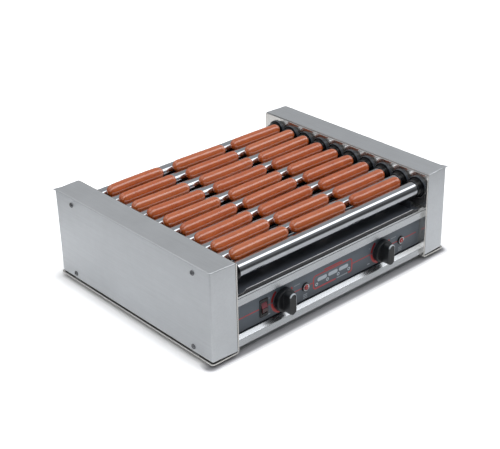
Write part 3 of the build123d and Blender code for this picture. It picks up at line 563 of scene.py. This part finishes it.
# ------------------------------------------------------------------- lamps and the rocker
def bezel():
    """Chromed ring, hazy and finely pitted, with black gasket outside and inside it."""
    t = material("bezel_chrome")
    x, _, z = t.xyz()
    height = t.sub(z, CONTROLS_Z)
    radius = t.math("MINIMUM", *(t.hypot(t.sub(x, lamp), height) for lamp in LAMPS_X))
    texture = t.noise(900, detail=2.0, rough=0.5)
    haze = t.noise(120)
    gasket = t.any_of(t.rise(radius, 0.0071, 0.0075), t.fall(radius, 0.0048, 0.0051))
    col = t.mix(haze, srgb(206, 208, 211), srgb(170, 172, 175))
    return t.bsdf(color=t.mix(gasket, col, srgb(22, 22, 24)), metallic=t.sub(1.0, gasket),
                  rough=t.vary(0.16, haze, gain=0.16),
                  normal=t.bump(texture, strength=0.05, depth=0.00005, bevel=0.0004))


def lens():
    """Glossy red moulded lens with a waffle of small prisms."""
    t = material("lens_red")
    x, _, z = t.xyz()
    prism_freq = math.pi / 0.0021
    grid = t.mul(t.abs(t.wave(x, prism_freq)), t.abs(t.wave(z, prism_freq)))
    col = t.blend(grid, srgb(92, 14, 18), srgb(200, 58, 60), low=0.05, high=0.7)
    return t.bsdf(color=col, rough=0.22, coat=0.8, coat_rough=0.05, spec=0.6,
                  emit=srgb(190, 40, 42), emit_strength=t.mul(grid, 0.06),
                  normal=t.bump(grid, strength=0.5, depth=0.0005, bevel=0.0005))


def rocker():
    """Glossy red rocker, scuffed, with painted highlights on its top half and edges and painted
    shade on its lower half.
    """
    t = material("rocker_red")
    scuff = t.noise((700, 700, 90))
    cloud = t.noise(90, detail=2.0, rough=0.5)
    col = t.blend(cloud, srgb(80, 10, 18), srgb(100, 16, 24), low=0.3, high=0.7)
    # painted highlight: the top half tinted pale pink
    upper = t.mix(0.25, col, srgb(206, 140, 150))
    # painted shade: the lower half darker
    col = t.blend(t.xyz()[2], srgb(58, 6, 12), upper,
                  low=ROCKER_Z + 0.0005, high=ROCKER_Z + 0.0015)
    # painted highlight: paler pink edges
    col = t.tint(col, srgb(226, 120, 122), t.edge(0.0010, low=0.01), amount=0.35)
    return t.bsdf(color=col, rough=t.vary(0.16, scuff, gain=0.12), coat=0.6, coat_rough=0.08,
                  normal=t.bump(scuff, strength=0.08, depth=0.0001, bevel=0.0009))


assign(bezel(), "lamp_bezels")
assign(lens(), "lamp_lenses")
assign(rocker(), "power_rocker")

# ---------------------------------------------------------------------- the printed panel
LINE_ENDS = (-0.2465, 0.238)
SWITCH_GAP = 0.001                          # from the guide line to the switch housing
KNOB_GAPS = (0.028, 0.024)                  # from a knob's axis to the line, left and right
LAMP_GAP = 0.0092                           # from a lamp's axis to the line
BADGE_X, BADGE_Z = 0.003, 0.0605
BADGE_HALF_X, BADGE_HALF_Z = 0.051, 0.0135
BADGE_GAP = 0.0005                          # from the badge outline to the line
PICTOGRAM_PITCH = 0.0285
# blank legend bars: offset x and z from the knob's or lamp's axis, half width, half height
KNOB_BARS = [(0.0375, 0.0123, 0.0075, 0.0011), (-0.0312, 0.0135, 0.0018, 0.0011),
             (-0.0328, -0.0188, 0.0034, 0.0013)]
LAMP_BARS = [(0.0, dz, 0.0052, 0.0008) for dz in (-0.0160, -0.0195, -0.0230)]


def panel():
    """Slate powder coat, painted lighter towards the top, with a red guide line, heat arcs, a
    framed pictogram and bars.
    """
    t = material("panel_slate")
    x, y, z = t.xyz()

    def bar(cx, cz, half_x, half_z, radius=0.0):
        return t.ink(t.box_distance(x, z, cx, cz, half_x, half_z, radius))

    def ring(cx, cz, radius, half_width):
        return t.ink(t.ring_distance(x, z, cx, cz, radius, half_width))

    # guide line, broken at the switch, knobs, lamps and badge
    (left_knob, right_knob), (left_lamp, right_lamp) = KNOBS_X, LAMPS_X
    before, after = KNOB_GAPS
    badge_reach = BADGE_HALF_X + BADGE_GAP
    segments = [
        (LINE_ENDS[0], SWITCH[0].x - SWITCH_GAP), (SWITCH[1].x + SWITCH_GAP, left_knob - before),
        (left_knob + after, left_lamp - LAMP_GAP), (left_lamp + LAMP_GAP, BADGE_X - badge_reach),
        (BADGE_X + badge_reach, right_knob - before),
        (right_knob + after, right_lamp - LAMP_GAP), (right_lamp + LAMP_GAP, LINE_ENDS[1]),
    ]
    line = t.any_of(*(bar((x0 + x1) / 2, CONTROLS_Z, (x1 - x0) / 2, half_z=0.0009)
                      for x0, x1 in segments))

    # arcs on the left of each knob, above and below nine o'clock, and a two o'clock wedge
    upper_arcs, lower_arcs, wedges = [], [], []
    for cx in KNOBS_X:
        arc = ring(cx, CONTROLS_Z, radius=0.0250, half_width=0.0026)
        # radians from nine o'clock, positive upwards
        angle = t.math("ARCTAN2", t.sub(z, CONTROLS_Z), t.sub(cx, x))
        upper_arcs.append(t.mul(arc, t.band(angle, rise=(0.03, 0.07), fall=(0.90, 0.95))))
        lower_arcs.append(t.mul(arc, t.band(angle, rise=(-1.36, -1.31), fall=(-0.07, -0.03))))
        wedges.append(t.mul(ring(cx, CONTROLS_Z, radius=0.0272, half_width=0.0016),
                            t.rise(angle, 2.60, 2.63), t.fall(angle, 2.80, 2.83)))

    bars = [bar(cx + dx, CONTROLS_Z + dz, half_x, half_z, radius=0.0004)
            for centres, marks in ((KNOBS_X, KNOB_BARS), (LAMPS_X, LAMP_BARS))
            for cx in centres for dx, dz, half_x, half_z in marks]

    # badge: a rounded outline, open at the lower right, round three sausages over four rollers
    outline = t.box_distance(x, z, BADGE_X, BADGE_Z, BADGE_HALF_X, BADGE_HALF_Z, radius=0.006)
    badge = t.ink(t.sub(t.abs(outline), 0.0013))
    gap = t.mul(t.band(x, rise=(0.0105, 0.0107), fall=(0.0440, 0.0442)),
                t.fall(z, 0.052, 0.0522))
    badge = t.mul(badge, t.sub(1.0, gap))
    pictogram = [bar(BADGE_X - PICTOGRAM_PITCH + PICTOGRAM_PITCH * i, BADGE_Z + 0.0030,
                     half_x=0.0124, half_z=0.0040, radius=0.0039) for i in range(3)]
    pictogram += [ring(BADGE_X - 1.5 * PICTOGRAM_PITCH + PICTOGRAM_PITCH * i, BADGE_Z - 0.0056,
                       radius=0.0026, half_width=0.0009) for i in range(4)]
    top_bar = bar(BADGE_X + 0.001, 0.0782, half_x=0.024, half_z=0.0016, radius=0.0006)
    gap_bar = bar(0.0275, 0.0475, half_x=0.0145, half_z=0.0012, radius=0.0005)

    grit = t.noise(1500, detail=2.0, rough=0.5)
    cloud = t.noise((7, 7, 14), detail=2.0, rough=0.5)
    # painted light: lighter towards the top
    col = t.blend(z, srgb(68, 74, 82), srgb(126, 137, 148), low=0.035, high=0.095)
    col = t.tint(col, srgb(84, 92, 101), t.rise(cloud, low=0.35, high=0.7), amount=0.35)
    col = t.tint(col, srgb(120, 126, 132), grit, amount=0.10)

    front = t.fall(y, -0.2148, -0.2146)     # only the front face is printed
    red = srgb(196, 62, 62)
    grey = srgb(150, 157, 164)
    layers = [
        ([line], red),
        (upper_arcs, srgb(146, 34, 36)),
        ([*lower_arcs, *wedges, badge, top_bar], red),
        (bars, grey),
        (pictogram, srgb(196, 204, 212)),
        ([gap_bar], grey),
    ]
    for marks, colour in layers:
        col = t.mix(t.mul(t.any_of(*marks), front), col, colour)
    printed = t.any_of(*(mark for marks, _ in layers for mark in marks))
    return t.bsdf(color=col, rough=t.sway(0.34, grit, gain=0.2), spec=0.5,
                  normal=t.bump(t.vary(t.mul(grit, 0.5), printed, gain=0.6),
                                strength=0.10, depth=0.00015, bevel=0.0005))


assign(panel(), "control_panel")

# ------------------------------------------------------------------ food on the rollers
SAUSAGE_RADIUS = 0.0124
# x of both ends of each sausage in mm, one row for each valley between rollers, front first
SAUSAGE_ENDS = [
    [(-220, -87), (-74, 60), (80, 214)], [(-224, -92), (-72, 60), (82, 217)],
    [(-225, -93), (-71, 62), (87, 220)], [(-222, -90), (-70, 64), (89, 222)],
    [(-225, -93), (-67, 66), (90, 223)], [(-227, -95), (-67, 66), (89, 223)],
    [(-229, -97), (-65, 69), (92, 227)], [(-226, -94), (-63, 70), (95, 229)],
    [(-222, -90), (-60, 73), (95, 229)],
]


def sausage_material():
    """Mottled brown skin under a wet gloss; each sausage differs a little."""
    t = material("sausage_skin")
    each = t.node("ObjectInfo", out="Random")
    mottle = t.noise((45, 70, 70), rough=0.5)
    fine = t.noise((500, 700, 700))
    wet = t.noise((260, 120, 120))
    col = t.blend(mottle, srgb(200, 99, 43), srgb(182, 83, 31), low=0.3, high=0.72)
    col = t.tint(col, srgb(207, 110, 52), each, amount=0.5)
    lumps = t.bump(mottle, strength=0.12, depth=0.0008)
    gloss = t.mul(t.rise(wet, low=0.34, high=0.60, start=0.72, end=1.0),
                  t.vary(0.78, each, gain=0.22))
    return t.bsdf(color=col, rough=0.50, spec=0.12, sub=0.08,
                  sub_radius=(0.004, 0.0014, 0.0006), sub_scale=1.0,
                  coat=gloss, coat_rough=0.06, coat_ior=2.1,
                  normal=t.bump(fine, strength=0.10, depth=0.0002, over=lumps),
                  coat_normal=t.bump(mottle, strength=0.05, depth=0.0006))


def sausage_mesh(name, length, radius, seed):
    """Along X: slightly bent, slightly fatter in places, with rounded ends."""
    bm = bmesh.new()
    rings, segments = 30, 20
    half = length / 2
    cap = radius * 1.12                     # length of the rounded end
    rows = []
    for i in range(rings):
        u = i / (rings - 1)
        x = -math.cos(u * math.pi) * half   # rings are denser at the ends
        end = half - abs(x)
        ring = radius
        if end < cap:
            ring = radius * (1 - max(0.0, 1 - end / cap) ** 2.3) ** 0.5
        ring = max(ring, radius * 0.06)
        ring *= 1 + 0.02 * noise.noise(Vector((x * 35, seed * 7.1, 0)))
        bend = 0.0012 * math.sin((u * 1.1 + seed * 0.37) * math.pi)
        row = []
        for j in range(segments):
            a = 2 * math.pi * j / segments
            place = Vector((x * 60, math.cos(a) * 2 + seed, math.sin(a) * 2))
            lump = 1 + 0.012 * noise.noise(place)
            row.append(bm.verts.new((x, bend + ring * lump * math.cos(a),
                                     ring * lump * math.sin(a))))
        rows.append(row)
    for row, after in zip(rows, rows[1:]):
        for j in range(segments):
            k = (j + 1) % segments
            bm.faces.new((row[j], after[j], after[k], row[k]))
    bm.faces.new(rows[0])
    bm.faces.new(rows[-1][::-1])
    bmesh.ops.recalc_face_normals(bm, faces=bm.faces)
    mesh = bpy.data.meshes.new(name)
    bm.to_mesh(mesh)
    bm.free()
    for face in mesh.polygons:
        face.use_smooth = True
    return mesh


def lay_sausages():
    skin = sausage_material()
    # height above the roller axes at which a sausage rests on two rollers
    pitch = ROLLER_Y[1] - ROLLER_Y[0]
    rest = math.sqrt((ROLLER_RADIUS + SAUSAGE_RADIUS) ** 2 - (pitch / 2) ** 2)
    for k, row in enumerate(SAUSAGE_ENDS):
        for c, (x0, x1) in enumerate(row):
            seed = k * 3 + c
            mesh = sausage_mesh("food_mesh_%d_%d" % (k, c), (x1 - x0 + 2) / 1000,
                                SAUSAGE_RADIUS, seed)
            mesh.materials.append(skin)
            o = bpy.data.objects.new("food_%d_%d" % (k, c), mesh)
            scene.collection.objects.link(o)
            o.location = ((x0 + x1) / 2000, (ROLLER_Y[k] + ROLLER_Y[k + 1]) / 2,
                          ROLLER_Z + rest)
            o.rotation_euler = (0.7 * seed, 0, 0)
            subdivision = o.modifiers.new("Subdivision", "SUBSURF")
            subdivision.levels = subdivision.render_levels = 1


lay_sausages()


# ------------------------------------------------------------------------ floor and light
def floor_material():
    """White sweep. The machine mirrors a table-sized patch that falls off; the camera sees
    white with contact shade round the machine."""
    t = material("floor_white")
    x, y, _ = t.xyz()
    cloud = t.noise(3, rough=0.5)
    from_table = t.box_distance(x, y, 0.0, 0.0, half_u=0.31, half_v=0.24)
    table = t.rise(from_table, low=0.20, high=0.85, start=0.91, end=0.12, smooth=True)
    # contact shade against distance in 0.1 m: dark and tight in front, softer at the sides
    foot = t.box_distance(x, y, 0.0, 0.0, half_u=0.304, half_v=0.221)
    front = t.ramp(t.mul(foot, 10.0), (0.0, (0.19, 0.19, 0.20, 1)),
                   (0.10, (0.25, 0.25, 0.26, 1)), (0.16, (0.62, 0.62, 0.63, 1)),
                   (0.25, (0.95, 0.95, 0.95, 1)), (0.36, (1.0, 1.0, 1.0, 1)))
    side = t.ramp(t.mul(foot, 10.0), (0.0, (0.42, 0.42, 0.42, 1)),
                  (0.12, (0.67, 0.67, 0.67, 1)), (0.32, (0.95, 0.95, 0.95, 1)),
                  (0.50, (1, 1, 1, 1)))
    shade = t.scale(t.blend(y, side, front, low=-0.200, high=-0.221), 1.62)
    seen = t.node("LightPath", out="Is Camera Ray")
    col = t.mix(seen, t.scale((1.0, 1.0, 1.0), table), shade)
    col = t.scale(col, t.vary(0.985, cloud, gain=0.03))
    return t.surface(t.node("BsdfDiffuse", ins={"Color": col, "Roughness": 0.6}))


def lay_floor():
    bm = bmesh.new()
    bmesh.ops.create_grid(bm, x_segments=8, y_segments=8, size=14)
    mesh = bpy.data.meshes.new("studio_floor")
    bm.to_mesh(mesh)
    bm.free()
    floor = bpy.data.objects.new("studio_floor", mesh)
    floor.location = (0, 0, cad_lo.z - 0.0002)
    floor.data.materials.append(floor_material())
    scene.collection.objects.link(floor)


def light_world():
    """Long overhead soft box, a little towards the operator, and a low panel on the right;
    dim room in front, grey wall behind. The camera sees plain white."""
    scene.world = bpy.data.worlds.new("studio")
    t = Shader(scene.world, output="OutputWorld")
    dx, dy, dz = t.xyz(t.node("TexCoord", out="Generated"))
    # where the ray meets a ceiling at unit height
    height = t.math("MAXIMUM", dz, 0.02)
    px, py = t.math("DIVIDE", dx, height), t.math("DIVIDE", dy, height)
    soft_box = t.mul(t.band(py, rise=(-0.86, -0.60), fall=(-0.22, 0.02), smooth=True),
                     t.band(px, rise=(-2.4, -1.6), fall=(2.8, 3.6), smooth=True),
                     t.rise(dz, 0.05, 0.15))
    behind = t.rise(dy, -0.30, 0.25, smooth=True)
    high = t.rise(dz, 0.0, 0.80, smooth=True)
    # room strengths at the horizon and overhead, in front and behind
    room = t.float_mix(behind, t.float_mix(high, 0.07, 0.30), t.float_mix(high, 0.47, 0.42))
    right_panel = t.mul(t.rise(dx, 0.74, 0.88, smooth=True), t.rise(dz, -0.06, 0.02),
                        t.fall(dz, 0.40, 0.60))
    strength = t.add(room, t.vary(t.mul(soft_box, 2.0), right_panel, gain=0.8))
    seen = t.node("LightPath", out="Is Camera Ray")
    t.surface(t.node("Background", ins={
        "Color": (0.975, 0.985, 1.0, 1.0), "Strength": t.float_mix(seen, strength, 1.0)}))


def add_key():
    """Soft key from above and behind, which drops the shadow towards the operator."""
    key = bpy.data.lights.new("key", "AREA")
    key.shape = "RECTANGLE"
    key.size, key.size_y = 2.4, 1.6
    key.energy = 8
    o = bpy.data.objects.new("key", key)
    o.location = (-0.9, 1.6, 2.3)
    aim = Vector((0, 0, 0.1))
    o.rotation_euler = (aim - o.location).to_track_quat("-Z", "Y").to_euler()
    scene.collection.objects.link(o)


lay_floor()
light_world()
add_key()

# --------------------------------------------------------------------------------- camera
AZIMUTH, ELEVATION, ROLL = (math.radians(a) for a in (-41.71, 27.56, -1.21))
TARGET = Vector((0, 0, 0.112))
# where the target lies in the camera's own axes
TARGET_RIGHT, TARGET_UP, TARGET_AHEAD = -0.00076, 0.02903, 2.29214


def add_camera():
    forward = -Vector((math.sin(AZIMUTH) * math.cos(ELEVATION),
                       -math.cos(AZIMUTH) * math.cos(ELEVATION), math.sin(ELEVATION)))
    level_right = forward.cross(Vector((0, 0, 1))).normalized()
    level_up = level_right.cross(forward)
    right = level_right * math.cos(ROLL) + level_up * math.sin(ROLL)
    up = -level_right * math.sin(ROLL) + level_up * math.cos(ROLL)
    place = TARGET - right * TARGET_RIGHT - up * TARGET_UP - forward * TARGET_AHEAD
    cam = bpy.data.cameras.new("camera")
    cam.sensor_width = 36.0
    cam.lens = 83.89512
    cam.shift_x, cam.shift_y = -0.00838, 0.00546
    cam.clip_start, cam.clip_end = 0.05, 60
    o = bpy.data.objects.new("camera", cam)
    turn = Matrix((right, up, -forward)).transposed()
    o.matrix_world = Matrix.Translation(place) @ turn.to_4x4()
    scene.collection.objects.link(o)
    scene.camera = o


add_camera()
scene.view_settings.view_transform = "Standard"
scene.view_settings.look = "None"
